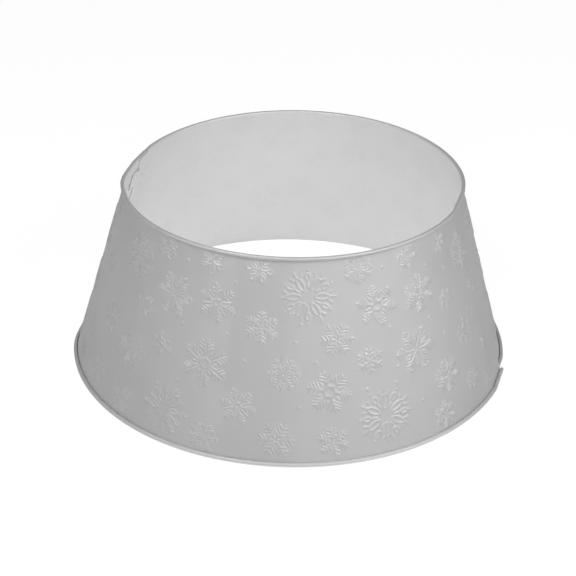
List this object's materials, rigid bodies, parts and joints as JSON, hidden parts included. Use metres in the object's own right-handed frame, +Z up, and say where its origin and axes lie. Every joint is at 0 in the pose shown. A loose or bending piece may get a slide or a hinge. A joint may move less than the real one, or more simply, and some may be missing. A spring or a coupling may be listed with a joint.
{
  "type": "christmas tree collar",
  "caption": "Tapered sheet-metal ring with rolled edges and embossed snowflakes that stands round a Christmas tree's foot and hides its stand; its halves pull apart.",
  "frame": {"origin": "centre of the foot ring, on the floor", "axes": "+Z up along the collar's axis; the two seams lie at +X and -X; the front half faces -Y and the rear half pulls off along +Y"},
  "size_m": [0.6503, 0.6557, 0.2745],
  "materials": {
    "panel_coat": "satin silver-grey powder coat",
    "clip_coat": "satin silver-grey powder coat",
    "edge_wire": "galvanised wire"
  },
  "bodies": {
    "front_half": {"front_panel": "panel_coat", "front_top_wire": "edge_wire", "front_foot_wire": "edge_wire", "left_clip_top": "clip_coat", "left_clip_middle": "clip_coat", "left_clip_foot": "clip_coat", "right_clip_top": "clip_coat", "right_clip_middle": "clip_coat", "right_clip_foot": "clip_coat"},
    "rear_half": {"rear_panel": "panel_coat", "rear_top_wire": "edge_wire", "rear_foot_wire": "edge_wire"}
  },
  "joints": [
    {"name": "rear_half_pull", "type": "slide", "parent": "front_half", "child": "rear_half", "axis": [0, 1, 0], "range_m": [0, 0.12]}
  ]
}
